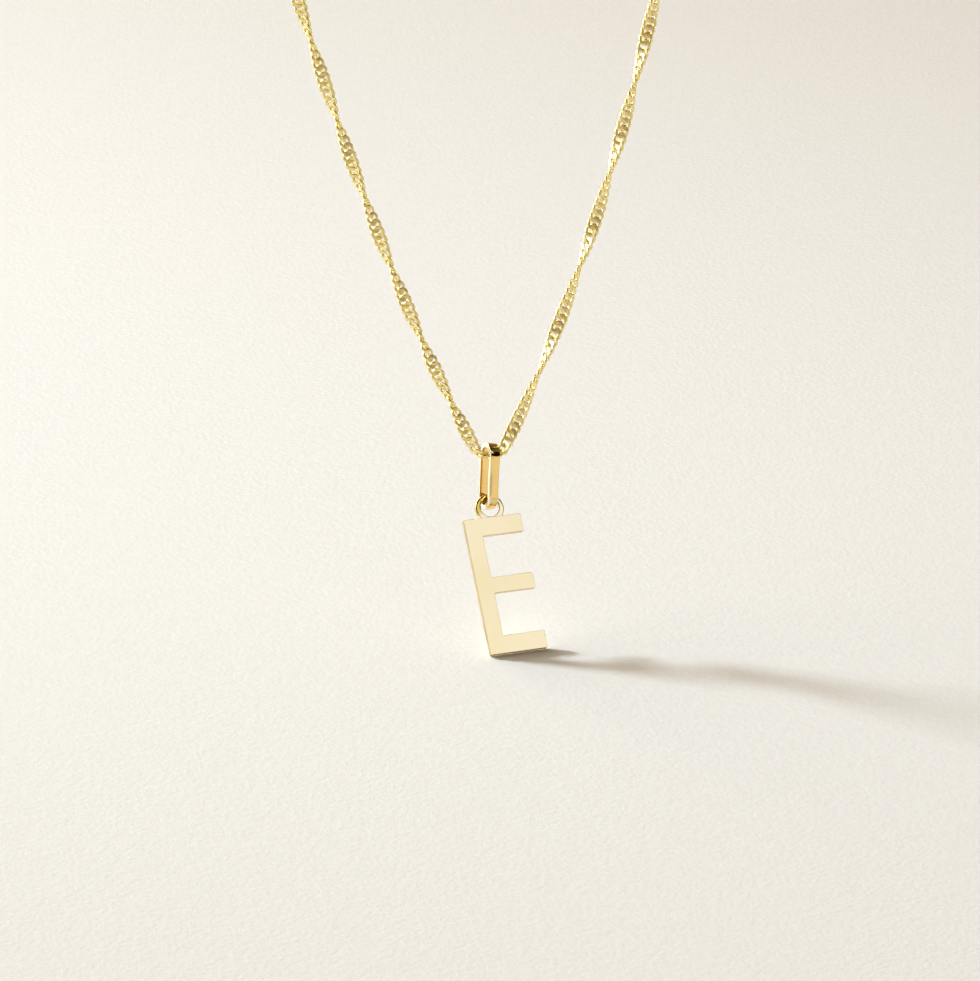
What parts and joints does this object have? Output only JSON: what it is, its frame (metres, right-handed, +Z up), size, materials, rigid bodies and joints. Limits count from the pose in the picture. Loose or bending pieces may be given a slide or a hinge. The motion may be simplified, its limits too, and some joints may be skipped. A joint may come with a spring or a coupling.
{
  "type": "initial pendant necklace",
  "caption": "Gold necklace: a flat sheet initial E with a ring on top, an elongated ribbon bail and a fine twisted curb chain closed by a spring ring clasp.",
  "frame": {"origin": "at the nape, under the clasp at the top of the loop, where a wearer's neck or a hook holds the necklace", "axes": "+Z up with gravity, -Y towards the front where the letter's face looks, +X to the viewer's right from the front; the loop's plane leans back 17 degrees, so the pendant hangs below and in front of the nape"},
  "size_m": [0.0717, 0.07, 0.2078],
  "materials": {
    "chain": "polished yellow gold, diamond-cut links",
    "bail": "polished yellow gold",
    "letter": "polished yellow gold sheet",
    "clasp": "polished yellow gold",
    "end_ring": "polished yellow gold wire"
  },
  "bodies": {
    "necklace": {"chain": "chain", "clasp": "clasp", "end_ring": "end_ring"},
    "bail": {"bail": "bail"},
    "letter": {"letter": "letter"}
  },
  "joints": [
    {"name": "bail_swing", "type": "hinge", "parent": "necklace", "child": "bail", "pos_m": [0, -0.05755, -0.18824], "axis": [0.956, 0.2316, -0.1801], "range_deg": [-65, 95]},
    {"name": "letter_swing", "type": "hinge", "parent": "bail", "child": "letter", "pos_m": [-0.00035, -0.05865, -0.1915], "axis": [0.956, 0.2316, -0.1801], "range_deg": [-60, 100]}
  ]
}
